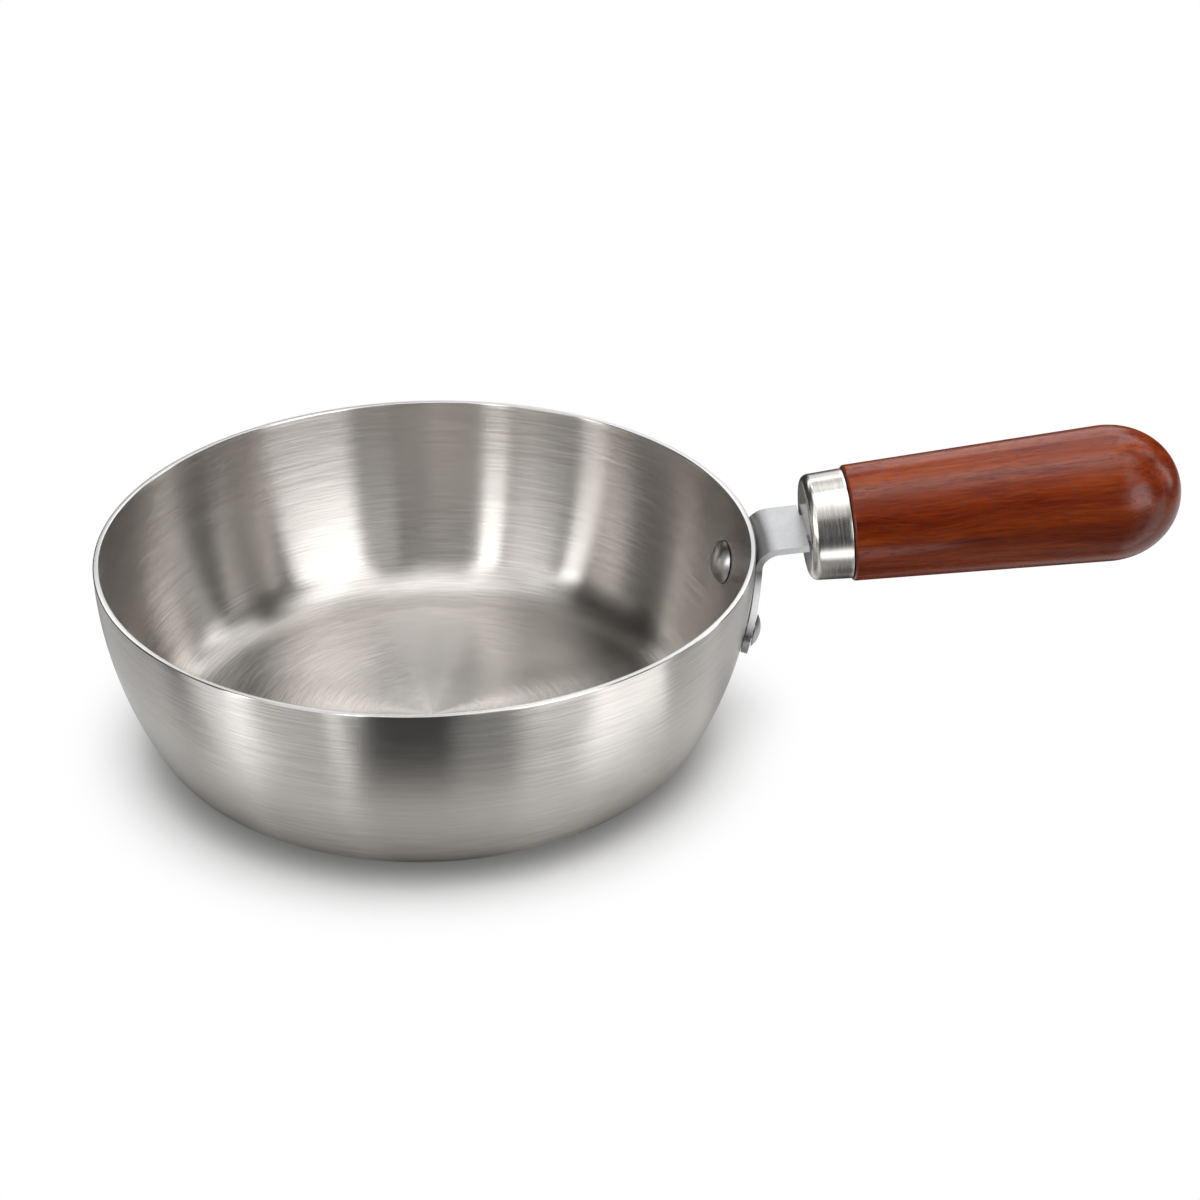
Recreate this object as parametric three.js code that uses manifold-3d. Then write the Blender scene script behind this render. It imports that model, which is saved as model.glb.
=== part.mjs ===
// Open steel saucepan with a riveted strap bracket and a turned wooden grip.
// Millimetres, +Z up. The origin is the middle of the pan's flat base, and the grip points along +X.

import * as THREE from "three";
import { mergeVertices } from "three/addons/utils/BufferGeometryUtils.js";
import Module from "manifold-3d";

const wasm = await Module();
wasm.setup();

// Bowl
const rimRadius = 100;
const panHeight = 64.5;
const wallThickness = 1.8;
const baseThickness = 3;
const wallArcRadius = 120;
const baseCornerRadius = 18;
const floorCornerRadius = 18;
const rimRound = 0.4;

// Handle line: the straight axis of the arm, the ferrule and the grip
const axisDrop = 1.9;
const handleTilt = THREE.MathUtils.degToRad(4.8);
const armReach = 16;

// Bracket: one strap, from a flange on the wall to a tang inside the ferrule
const strapThickness = 2;
const armWidth = 27;
const tangWidth = 13;
const bendRadius = 5.5;
const lobeRadius = 7.3;
const flareLength = 16;

// Rivets: two side by side through the flange and the wall
const rivetDrop = 23;
const rivetSpacing = 42;
const shankRadius = 2.5;
const innerHeadRadius = 6.9;
const innerHeadHeight = 2.9;
const outerHeadRadius = 5.1;
const outerHeadHeight = 1.8;

// Ferrule: drawn cap with a slot for the tang
const ferruleRadius = 16.4;
const ferruleFlare = 0.6;
const ferruleLength = 12.7;
const ferruleWall = 1.2;
const ferruleEdge = 2.6;

// Grip: turned wood with a straight taper and a round nose
const gripStartRadius = 17.9;
const gripNoseRadius = 21;
const gripLength = 103.4;
const noseLength = 24;
const noseFullness = 0.72;
const gripEdge = 0.8;

// Fixing inside the grip: a long screw from the nose into a slotted nut on the tang
const screwRadius = 2.5;
const screwHeadRadius = 4;
const screwHeadHeight = 3;
const driveWidth = 1.2;
const driveDepth = 1.4;
const headSink = 3;
const washerRadius = 4.1;
const washerThickness = 1;
const nutRadius = 5.5;
const nutSetback = 1.8;
const nutTangDepth = 6;
const nutThreadDepth = 6;
const tipGap = 0.8;

// Clearances
const seat = 0.3;
const wallGap = 0.3;
const shoulderGap = 0.6;

// Facets, and a length that carries a cutting tool clear of the metal
const panSegments = 96;
const roundSegments = 48;
const smallSegments = 24;
const arcSteps = 6;
const edgeSteps = 3;
const strapColumns = 14;
const cutReach = 30;

const steel = { color: 0xcbc6bd, roughness: 0.32, metalness: 1 };
const polishedSteel = { color: 0xd6d2cb, roughness: 0.22, metalness: 1 };
const wood = { color: 0x8c4027, roughness: 0.42, metalness: 0 };

/** Shares the corners of a closed geometry and drops the triangles that collapse at a pole. */
function weld(geometry) {
  const bare = geometry.clone();
  bare.deleteAttribute("normal");
  bare.deleteAttribute("uv");
  const merged = mergeVertices(bare);
  const index = merged.index.array;
  const kept = [];
  for (let i = 0; i < index.length; i += 3) {
    const [a, b, c] = [index[i], index[i + 1], index[i + 2]];
    if (a !== b && b !== c && c !== a) kept.push(a, b, c);
  }
  merged.setIndex(kept);
  return merged;
}

/** Turns a closed geometry into a solid that can be cut. */
function toSolid(geometry) {
  const welded = weld(geometry);
  return new wasm.Manifold(new wasm.Mesh({
    numProp: 3,
    vertProperties: new Float32Array(welded.attributes.position.array),
    triVerts: new Uint32Array(welded.index.array),
  }));
}

/** Cuts every tool away from a closed geometry. */
function cut(geometry, tools) {
  let solid = toSolid(geometry);
  for (const tool of tools) solid = solid.subtract(toSolid(tool));
  const mesh = solid.getMesh();
  const result = new THREE.BufferGeometry();
  result.setAttribute("position", new THREE.BufferAttribute(new Float32Array(mesh.vertProperties), 3));
  result.setIndex(new THREE.BufferAttribute(new Uint32Array(mesh.triVerts), 1));
  return result;
}

/** Points of a circular arc, with both its ends. */
function arc(centreX, centreY, radius, startAngle, endAngle, steps) {
  const points = [];
  for (let i = 0; i <= steps; i += 1) {
    const angle = startAngle + ((endAngle - startAngle) * i) / steps;
    points.push(new THREE.Vector2(centreX + radius * Math.cos(angle), centreY + radius * Math.sin(angle)));
  }
  return points;
}

/** Makes profile points from pairs of radius and height. */
function profile(pairs) {
  return pairs.map(([radius, height]) => new THREE.Vector2(radius, height));
}

/** Revolves a profile about the Z axis. */
function revolve(points, segments) {
  return new THREE.LatheGeometry(points, segments).rotateX(Math.PI / 2);
}

/** Revolves a profile that closes on itself, such as a tube's section, about the Z axis. */
function revolveRing(points, segments) {
  return revolve([...points, points[0]], segments);
}

/** A block in a frame of its own, from its low corner to its high corner. */
function block(low, high) {
  const size = high.clone().sub(low);
  const middle = low.clone().add(high).multiplyScalar(0.5);
  return new THREE.BoxGeometry(size.x, size.y, size.z).translate(middle.x, middle.y, middle.z);
}

/** Names a geometry, gives it its finish and adds it to a parent. */
function addPiece(parent, name, geometry, finish) {
  const piece = weld(geometry);
  piece.computeVertexNormals();
  const mesh = new THREE.Mesh(piece, new THREE.MeshStandardMaterial(finish));
  mesh.name = name;
  parent.add(mesh);
  return mesh;
}

// Bowl: the wall's outer face is an arc about a ring of centres level with the rim, so it ends upright
const arcCentreRadius = rimRadius - wallArcRadius;

/** Radius at which a corner's centre lies, for a corner tangent to a flat and to a wall arc. */
function cornerCentreRadius(wallRadius, cornerRadius, flatHeight) {
  const reach = wallRadius - cornerRadius;
  const rise = panHeight - flatHeight - cornerRadius;
  return arcCentreRadius + Math.sqrt(reach * reach - rise * rise);
}

/** One face of the bowl from its flat to just under the rim: a corner arc, then the wall's arc. */
function bowlFace(wallRadius, cornerRadius, flatHeight) {
  const centre = cornerCentreRadius(wallRadius, cornerRadius, flatHeight);
  const centreHeight = flatHeight + cornerRadius;
  const meet = Math.asin((panHeight - centreHeight) / (wallRadius - cornerRadius));
  const corner = arc(centre, centreHeight, cornerRadius, -Math.PI / 2, -meet, arcSteps);
  const wall = arc(arcCentreRadius, panHeight, wallRadius, -meet, -rimRound / wallRadius, arcSteps);
  return [...corner, ...wall.slice(1)];
}

/** Bowl with its rivet holes. */
function bowlGeometry() {
  const outside = bowlFace(wallArcRadius, baseCornerRadius, 0);
  const inside = bowlFace(wallArcRadius - wallThickness, floorCornerRadius, baseThickness);
  const section = [
    ...profile([[0, 0]]),
    ...outside,
    ...profile([[rimRadius - rimRound, panHeight], [rimRadius - wallThickness + rimRound, panHeight]]),
    ...inside.reverse(),
    ...profile([[0, baseThickness]]),
  ];
  return cut(revolve(section, panSegments), [rivetDrill(1), rivetDrill(-1)]);
}

// Rivets: their axes stand square to the wall, which leans out by this angle at their height
const rivetLean = Math.asin(rivetDrop / wallArcRadius);
const rivetWallRadius = arcCentreRadius + wallArcRadius * Math.cos(rivetLean);

/** Place on the wall's outer face, and turn from +Y, of the rivet on one side: 1 for +Y, -1 for -Y. */
function rivetPlace(side) {
  const turn = Math.asin((side * rivetSpacing) / 2 / rivetWallRadius);
  const around = new THREE.Vector3(Math.cos(turn), Math.sin(turn), 0);
  const point = around.clone().multiplyScalar(rivetWallRadius).setZ(panHeight - rivetDrop);
  const normal = around.multiplyScalar(Math.cos(rivetLean)).setZ(-Math.sin(rivetLean));
  return { point, turn: new THREE.Quaternion().setFromUnitVectors(new THREE.Vector3(0, 1, 0), normal) };
}

/** Drill for one rivet's hole through the wall and the flange. */
function rivetDrill(side) {
  const place = rivetPlace(side);
  const radius = shankRadius + seat;
  const drill = new THREE.CylinderGeometry(radius, radius, cutReach, smallSegments);
  return drill.applyQuaternion(place.turn).translate(place.point.x, place.point.y, place.point.z);
}

/** Profile of a domed head from its crown on the axis to its edge: a cap of a sphere. */
function domeProfile(radius, height, foot) {
  const ball = (radius * radius + height * height) / (2 * height);
  const half = Math.asin(radius / ball);
  return arc(0, foot + height - ball, ball, Math.PI / 2, Math.PI / 2 - half, arcSteps);
}

/** Rivet along local Y: a high dome inside the bowl, the shank, and a flatter head on the flange. */
function rivetGeometry() {
  const hollow = (innerHeadRadius * innerHeadRadius) / rivetWallRadius;
  const innerFoot = wallThickness + seat + hollow / 2;
  const outerFoot = wallGap + strapThickness + seat;
  const inner = domeProfile(innerHeadRadius, innerHeadHeight, innerFoot);
  const outer = domeProfile(outerHeadRadius, outerHeadHeight, outerFoot);
  const section = [
    ...inner.map((point) => new THREE.Vector2(point.x, -point.y)),
    ...profile([[shankRadius, -innerFoot], [shankRadius, outerFoot]]),
    ...outer.reverse(),
  ];
  return new THREE.LatheGeometry(section, smallSegments);
}

// Handle frame: its origin is the middle of the ferrule's cap face, local Z runs along the grip
const axisDirection = new THREE.Vector2(Math.cos(handleTilt), Math.sin(handleTilt));
const axisStart = new THREE.Vector2(rimRadius, panHeight - axisDrop);
const capFace = axisStart.clone().addScaledVector(axisDirection, armReach);
const handle = new THREE.Group();
handle.position.set(capFace.x, 0, capFace.y);
handle.rotation.y = Math.PI / 2 - handleTilt;
handle.updateMatrix();

const nutStart = ferruleWall + nutSetback;
const tangReach = nutStart + nutTangDepth;
const screwTip = tangReach + tipGap;
const nutEnd = screwTip + nutThreadDepth;

/** Strap's middle line in the handle's upright plane, with its half width and its wrap round the bowl. */
function strapStations() {
  // The line follows the wall from the flange's foot, turns out through the bend and ends along the handle
  const faceRadius = wallArcRadius + wallGap + strapThickness / 2;
  const wallCentre = new THREE.Vector2(arcCentreRadius, panHeight);
  const underAxis = new THREE.Vector2(axisDirection.y, -axisDirection.x);
  const bendRail = axisStart.clone().addScaledVector(underAxis, bendRadius).sub(wallCentre);
  const bendReach = faceRadius + bendRadius;
  const along = bendRail.dot(axisDirection);
  const slide = Math.sqrt(along * along + bendReach * bendReach - bendRail.lengthSq()) - along;
  const bendCentre = bendRail.addScaledVector(axisDirection, slide);
  const bendAngle = Math.atan2(-bendCentre.y, bendCentre.x);
  bendCentre.add(wallCentre);
  const footAngle = rivetLean + lobeRadius / faceRadius;
  const onWall = (angle) => new THREE.Vector2(Math.cos(angle), -Math.sin(angle))
    .multiplyScalar(faceRadius)
    .add(wallCentre);

  // Stations crowd towards the foot, where the round lobes close
  const line = [];
  for (let i = 0; i < arcSteps; i += 1) {
    const lift = 1 - Math.cos((Math.PI * i) / arcSteps / 2);
    line.push(onWall(THREE.MathUtils.lerp(footAngle, rivetLean, lift)));
  }
  for (let i = 0; i < 2 * arcSteps; i += 1) {
    line.push(onWall(THREE.MathUtils.lerp(rivetLean, bendAngle, i / arcSteps / 2)));
  }
  const bendStart = line.length;
  const upright = Math.PI / 2 + handleTilt;
  line.push(...arc(bendCentre.x, bendCentre.y, bendRadius, Math.PI - bendAngle, upright, arcSteps));
  const bendEnd = line.length - 1;
  line.push(capFace.clone().addScaledVector(axisDirection, tangReach));

  // Run along the strap at each station, then the width and the wrap from it
  const runs = [0];
  for (let i = 1; i < line.length; i += 1) runs.push(runs[i - 1] + line[i].distanceTo(line[i - 1]));
  return line.map((point, i) => {
    const below = Math.max(0, lobeRadius - runs[i]);
    const lobe = rivetSpacing / 2 + Math.sqrt(Math.max(0, lobeRadius * lobeRadius - below * below));
    const flare = THREE.MathUtils.smoothstep(runs[i], lobeRadius, lobeRadius + flareLength);
    return {
      point,
      halfWidth: THREE.MathUtils.lerp(lobe, armWidth / 2, flare),
      wrap: 1 - THREE.MathUtils.smoothstep(runs[i], runs[bendStart], runs[bendEnd]),
    };
  });
}

/** Middle surface of the strap as rows of points, one row a station, from the -Y edge to the +Y edge. */
function strapSurface() {
  return strapStations().map(({ point, halfWidth, wrap }) => {
    const row = [];
    for (let j = 0; j <= strapColumns; j += 1) {
      const across = halfWidth * ((2 * j) / strapColumns - 1);
      const fall = point.x - Math.sqrt(point.x * point.x - across * across);
      row.push(new THREE.Vector3(point.x - wrap * fall, across, point.y));
    }
    return row;
  });
}

/** Closed sheet of a given thickness about a middle surface. */
function thicken(rows, thickness) {
  const columns = rows[0].length;
  const at = (i, j) => {
    const row = rows[THREE.MathUtils.clamp(i, 0, rows.length - 1)];
    return row[THREE.MathUtils.clamp(j, 0, columns - 1)];
  };
  const vertices = [];
  for (const side of [1, -1]) {
    for (let i = 0; i < rows.length; i += 1) {
      for (let j = 0; j < columns; j += 1) {
        const along = at(i + 1, j).clone().sub(at(i - 1, j));
        const across = at(i, j + 1).clone().sub(at(i, j - 1));
        const normal = across.cross(along).normalize();
        const corner = at(i, j).clone().addScaledVector(normal, (side * thickness) / 2);
        vertices.push(corner.x, corner.y, corner.z);
      }
    }
  }
  const half = rows.length * columns;
  const index = [];
  const quad = (a, b, c, d) => index.push(a, b, c, a, c, d);
  for (let i = 0; i + 1 < rows.length; i += 1) {
    for (let j = 0; j + 1 < columns; j += 1) {
      const a = i * columns + j;
      quad(a, a + 1, a + columns + 1, a + columns);
      quad(half + a, half + a + columns, half + a + columns + 1, half + a + 1);
    }
  }
  const edge = [];
  for (let j = 0; j < columns; j += 1) edge.push(j);
  for (let i = 1; i < rows.length; i += 1) edge.push(i * columns + columns - 1);
  for (let j = columns - 2; j >= 0; j -= 1) edge.push((rows.length - 1) * columns + j);
  for (let i = rows.length - 2; i > 0; i -= 1) edge.push(i * columns);
  edge.forEach((a, k) => {
    const b = edge[(k + 1) % edge.length];
    quad(b, a, half + a, half + b);
  });
  const sheet = new THREE.BufferGeometry();
  sheet.setAttribute("position", new THREE.Float32BufferAttribute(vertices, 3));
  sheet.setIndex(index);
  return sheet;
}

/** Bracket: the pressed strap with shoulders cut beside the tang and its rivet holes. */
function bracketGeometry() {
  const notches = [1, -1].map((side) => {
    const near = (side * tangWidth) / 2;
    const far = side * armWidth;
    const low = new THREE.Vector3(-cutReach, Math.min(near, far), -shoulderGap);
    const high = new THREE.Vector3(cutReach, Math.max(near, far), tangReach + cutReach);
    return block(low, high).applyMatrix4(handle.matrix);
  });
  return cut(thicken(strapSurface(), strapThickness), [...notches, rivetDrill(1), rivetDrill(-1)]);
}

/** Slot cutter for the tang, between two places along the handle. */
function tangSlot(start, end) {
  const halfHeight = strapThickness / 2 + seat;
  const halfWidth = tangWidth / 2 + seat;
  const low = new THREE.Vector3(-halfHeight, -halfWidth, start);
  return block(low, new THREE.Vector3(halfHeight, halfWidth, end));
}

/** Ferrule: a cap with a rounded edge, open towards the grip, slotted in its face. */
function ferruleGeometry() {
  const mouth = ferruleRadius + ferruleFlare;
  const centre = ferruleRadius - ferruleEdge;
  const section = [
    ...profile([[0, 0]]),
    ...arc(centre, ferruleEdge, ferruleEdge, -Math.PI / 2, 0, arcSteps),
    ...profile([[mouth, ferruleLength], [mouth - ferruleWall, ferruleLength]]),
    ...arc(centre, ferruleEdge, ferruleEdge - ferruleWall, 0, -Math.PI / 2, arcSteps),
    ...profile([[0, ferruleWall]]),
  ];
  return cut(revolve(section, roundSegments), [tangSlot(-ferruleWall, 2 * ferruleWall)]);
}

// Grip: places along the handle, from the ferrule's open end to the nose and the screw's seat in it
const gripStart = ferruleLength + seat;
const gripTip = gripStart + gripLength;
const noseStart = gripTip - noseLength;
const headTop = gripTip - headSink;
const headFoot = headTop - screwHeadHeight;
const washerTop = headFoot - seat;
const washerFoot = washerTop - washerThickness;

/** Nose of the grip: a conic that leaves the taper in line with it and closes square on the axis. */
function noseProfile() {
  const slope = (gripNoseRadius - gripStartRadius) / (noseStart - gripStart);
  const pull = new THREE.Vector2(gripNoseRadius + slope * noseLength, gripTip);
  const points = [];
  for (let i = 0; i <= arcSteps + edgeSteps; i += 1) {
    const t = i / (arcSteps + edgeSteps);
    const start = (1 - t) * (1 - t);
    const middle = 2 * noseFullness * t * (1 - t);
    const end = t * t;
    const radius = start * gripNoseRadius + middle * pull.x;
    const height = start * noseStart + middle * pull.y + end * gripTip;
    points.push(new THREE.Vector2(radius, height).divideScalar(start + middle + end));
  }
  return points;
}

/** Grip: tenon, shoulder, taper and nose, bored for the nut, the screw and the screw's head. */
function gripGeometry() {
  const tenonRadius = ferruleRadius - ferruleWall - seat;
  const tenonStart = ferruleWall + seat;
  const tenonCorner = ferruleEdge - ferruleWall;
  const section = [
    ...profile([[0, tenonStart], [tenonRadius - tenonCorner, tenonStart]]),
    ...profile([[tenonRadius, tenonStart + tenonCorner], [tenonRadius, gripStart]]),
    ...arc(gripStartRadius - gripEdge, gripStart + gripEdge, gripEdge, -Math.PI / 2, 0, edgeSteps),
    ...noseProfile(),
  ];
  const nutSpace = Math.max(nutRadius, Math.hypot(tangWidth, strapThickness) / 2) + seat;
  const boreRadius = screwRadius + seat;
  const headSpace = Math.max(screwHeadRadius, washerRadius) + seat;
  const drill = revolve(profile([
    [0, -cutReach],
    [nutSpace, -cutReach],
    [nutSpace, nutEnd + seat],
    [boreRadius, nutEnd + seat],
    [boreRadius, washerFoot - seat],
    [headSpace, washerFoot - seat],
    [headSpace, gripTip + cutReach],
    [0, gripTip + cutReach],
  ]), smallSegments);
  return cut(revolve(section, roundSegments), [drill]);
}

/** Screw: a long shank with a slotted cheese head. */
function screwGeometry() {
  const shape = revolve(profile([
    [0, screwTip],
    [screwRadius, screwTip],
    [screwRadius, headFoot],
    [screwHeadRadius, headFoot],
    [screwHeadRadius, headTop],
    [0, headTop],
  ]), smallSegments);
  const low = new THREE.Vector3(-cutReach, -driveWidth / 2, headTop - driveDepth);
  return cut(shape, [block(low, new THREE.Vector3(cutReach, driveWidth / 2, headTop + cutReach))]);
}

/** Washer under the screw's head. */
function washerGeometry() {
  const hole = screwRadius + seat;
  return revolveRing(profile([
    [hole, washerFoot],
    [washerRadius, washerFoot],
    [washerRadius, washerTop],
    [hole, washerTop],
  ]), smallSegments);
}

/** Nut: a round bar, slotted over the tang at one end and bored for the screw. */
function nutGeometry() {
  const hole = screwRadius + seat;
  const bar = revolveRing(profile([
    [hole, nutStart],
    [nutRadius, nutStart],
    [nutRadius, nutEnd],
    [hole, nutEnd],
  ]), smallSegments);
  return cut(bar, [tangSlot(nutStart - cutReach, tangReach + seat)]);
}

const saucepan = new THREE.Group();
addPiece(saucepan, "pan_body", bowlGeometry(), steel);
addPiece(saucepan, "handle_bracket", bracketGeometry(), steel);
for (const [name, side] of [["rivet_left", 1], ["rivet_right", -1]]) {
  const place = rivetPlace(side);
  const rivet = addPiece(saucepan, name, rivetGeometry(), polishedSteel);
  rivet.position.copy(place.point);
  rivet.quaternion.copy(place.turn);
}
addPiece(handle, "ferrule", ferruleGeometry(), polishedSteel);
addPiece(handle, "grip", gripGeometry(), wood);
addPiece(handle, "tang_nut", nutGeometry(), steel);
addPiece(handle, "grip_screw", screwGeometry(), steel);
addPiece(handle, "screw_washer", washerGeometry(), steel);
saucepan.add(handle);

export default saucepan;
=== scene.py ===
"""Looks of an open steel saucepan with a riveted strap bracket and a turned wooden grip.

Metres, in the part's own frame: the origin is the middle of the flat base, +Z is up, and the
grip points along +X.
"""

import logging
import math
from dataclasses import dataclass, field
from enum import Enum
from typing import Any, Mapping, Optional, Sequence, Union

import bpy
import numpy as np
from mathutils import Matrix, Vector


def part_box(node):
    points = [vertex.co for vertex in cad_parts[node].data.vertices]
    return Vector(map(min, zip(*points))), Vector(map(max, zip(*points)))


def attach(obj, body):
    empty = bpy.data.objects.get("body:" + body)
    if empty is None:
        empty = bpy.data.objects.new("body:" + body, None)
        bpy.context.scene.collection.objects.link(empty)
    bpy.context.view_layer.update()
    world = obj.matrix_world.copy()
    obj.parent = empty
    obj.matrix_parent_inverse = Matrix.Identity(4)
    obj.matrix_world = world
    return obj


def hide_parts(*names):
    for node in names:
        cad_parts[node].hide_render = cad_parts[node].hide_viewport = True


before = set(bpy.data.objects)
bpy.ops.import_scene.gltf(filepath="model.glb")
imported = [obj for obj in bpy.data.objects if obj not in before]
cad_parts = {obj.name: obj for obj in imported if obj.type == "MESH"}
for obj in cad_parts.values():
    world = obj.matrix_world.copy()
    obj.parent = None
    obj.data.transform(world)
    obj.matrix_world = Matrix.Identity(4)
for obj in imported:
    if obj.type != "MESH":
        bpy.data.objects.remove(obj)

MM = 0.001
TINY = 1e-9
BODY = "root"
RUN = "run"
NOISE_MEAN = 0.5
LEVEL = (1.0, 1.0, 0.0)
WHITE = (1.0, 1.0, 1.0)
ZENITH = 90.0
HALF_TURN = 180.0

Array = np.ndarray
Piece = bpy.types.Object
Triple = tuple[float, float, float]
Colour = Triple
Span = tuple[float, float]
Number = Union["Wire", float]
Value = Union["Wire", float, Sequence[float]]
Sockets = Mapping[Union[str, int], Value]


class Wire:
    """One output socket, on which plain arithmetic adds Math nodes."""

    def __init__(self, graph: "Graph", socket: Optional[bpy.types.NodeSocket]) -> None:
        """Keeps the socket and the graph that it belongs to."""
        self.graph = graph
        self.socket = socket

    def __add__(self, other: Number) -> "Wire":
        """Sum of two values."""
        return self.graph.math("ADD", self, other)

    def __sub__(self, other: Number) -> "Wire":
        """Difference of two values."""
        return self.graph.math("SUBTRACT", self, other)

    def __rsub__(self, other: Number) -> "Wire":
        """Difference of a number and this value."""
        return self.graph.math("SUBTRACT", other, self)

    def __mul__(self, other: Number) -> "Wire":
        """Product of two values."""
        return self.graph.math("MULTIPLY", self, other)

    __radd__ = __add__
    __rmul__ = __mul__

    def fade(self, low: float, high: float) -> "Wire":
        """Smooth step of this value, from 0 at low to 1 at high."""
        return self.graph.node(
            "ShaderNodeMapRange",
            {"interpolation_type": "SMOOTHSTEP"},
            {"Value": self, "From Min": low, "From Max": high},
        )

    def output(self, name: str) -> "Wire":
        """Another output of the same node."""
        return Wire(self.graph, self.socket.node.outputs[name])


@dataclass(frozen=True)
class Grain:
    """Noise drawn out in space: cells to a metre along each axis, octaves, and their gain."""

    stretch: Triple
    detail: float = 2.0
    gain: float = 0.5


@dataclass(frozen=True)
class Relief:
    """Fine height of a surface: how strongly it shades, and its depth."""

    strength: float
    depth: float


class Graph:
    """Node tree of one material or of the world.

    The Mix node has sockets of several types, so its colour ones go by number.
    """

    MIX_COLOURS = (6, 7)
    MIX_RESULT = 2

    def __init__(self, tree: bpy.types.NodeTree) -> None:
        """Starts from an empty tree."""
        self.tree = tree
        tree.nodes.clear()

    def node(
        self,
        kind: str,
        settings: Optional[Mapping[str, Any]] = None,
        sockets: Optional[Sockets] = None,
        output: Union[str, int] = 0,
    ) -> Wire:
        """Adds one node.

        Args:
            kind: the node's type.
            settings: its own options, set first; "stops" holds a ramp's places and colours.
            sockets: a value or a wire for each input, by name or by number.
            output: the output that comes back.

        Returns:
            The wire from that output, or an empty one where the node has none.
        """
        made = self.tree.nodes.new(kind)
        for name, value in (settings or {}).items():
            if name == "stops":
                self.set_stops(made.color_ramp, value)
            else:
                setattr(made, name, value)
        for name, value in (sockets or {}).items():
            socket = made.inputs[name]
            if isinstance(value, Wire):
                self.tree.links.new(value.socket, socket)
            elif socket.type == "RGBA":
                socket.default_value = (*value, 1.0)
            else:
                socket.default_value = value
        return Wire(self, made.outputs[output] if len(made.outputs) else None)

    @staticmethod
    def set_stops(ramp: bpy.types.ColorRamp, stops: Sequence[tuple[float, Colour]]) -> None:
        """Gives a colour ramp its stops.

        Args:
            ramp: the ramp, which starts with two stops.
            stops: place and colour of each stop, in order.
        """
        while len(ramp.elements) < len(stops):
            ramp.elements.new(1.0)
        for element, (place, colour) in zip(ramp.elements, stops):
            element.position = place
            element.color = (*colour, 1.0)

    def math(self, operation: str, *terms: Number) -> Wire:
        """Math node of one operation on values."""
        return self.node("ShaderNodeMath", {"operation": operation}, dict(enumerate(terms)))

    def vector(self, operation: str, *terms: Value, output: Union[str, int] = 0) -> Wire:
        """Vector Math node of one operation on vectors."""
        return self.node(
            "ShaderNodeVectorMath", {"operation": operation}, dict(enumerate(terms)), output
        )

    def mix(self, factor: Number, first: Value, second: Value) -> Wire:
        """Colour that goes from the first to the second as the factor goes from 0 to 1."""
        sockets = {0: factor, **dict(zip(self.MIX_COLOURS, (first, second)))}
        return self.node("ShaderNodeMix", {"data_type": "RGBA"}, sockets, self.MIX_RESULT)

    def blend(self, factor: Wire, first: Wire, second: Wire) -> Wire:
        """Shader that goes from the first to the second as the factor goes from 0 to 1."""
        return self.node("ShaderNodeMixShader", None, {0: factor, 1: first, 2: second})

    def noise(self, vector: Wire, detail: float, gain: float) -> Wire:
        """Noise of about 0 to 1, one cell to a unit of the vector."""
        return self.node(
            "ShaderNodeTexNoise",
            None,
            {"Vector": vector, "Scale": 1.0, "Detail": detail, "Roughness": gain},
        )

    def grain(self, place: Wire, grain: Grain) -> Wire:
        """Noise of about 0 to 1 that is drawn out along the axes of a place."""
        return self.noise(self.vector("MULTIPLY", place, grain.stretch), grain.detail, grain.gain)

    def bump(self, height: Wire, relief: Relief) -> Wire:
        """Normal of a surface with a fine height."""
        return self.node(
            "ShaderNodeBump",
            None,
            {"Strength": relief.strength, "Distance": relief.depth, "Height": height},
        )

    def place(self) -> Wire:
        """Object coordinates, in metres."""
        return self.node("ShaderNodeTexCoord", output="Object")

    def turned(self, tilt: float) -> Wire:
        """Object coordinates turned about Y, so that X runs along the handle."""
        return self.node(
            "ShaderNodeMapping", None, {"Vector": self.place(), "Rotation": (0.0, tilt, 0.0)}
        )

    def heading(self, vector: Wire) -> Wire:
        """Unit vector along the level part of a vector."""
        return self.vector("NORMALIZE", self.vector("MULTIPLY", vector, LEVEL))

    def surface(self, sockets: Sockets) -> None:
        """Principled shader with these sockets, joined to the material's output."""
        shader = self.node("ShaderNodeBsdfPrincipled", None, sockets)
        self.node("ShaderNodeOutputMaterial", None, {"Surface": shader})


class Finish:
    """What every finish has: a slot's name, and nodes that shade it."""

    slot: str

    def shade(self, graph: Graph) -> None:
        """Builds the finish's nodes in an empty graph."""
        raise NotImplementedError

    def material(self) -> bpy.types.Material:
        """Makes the material.

        Returns:
            A new material with this finish's nodes.
        """
        made = bpy.data.materials.new(self.slot)
        made.use_nodes = True
        self.shade(Graph(made.node_tree))
        return made


@dataclass(frozen=True)
class Marks:
    """One layer of brush marks.

    Turns is cells to a radian round the axis, density is cells to a metre across the marks, and
    share is the layer's part of the whole stroke.
    """

    turns: float
    density: float
    share: float


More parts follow.
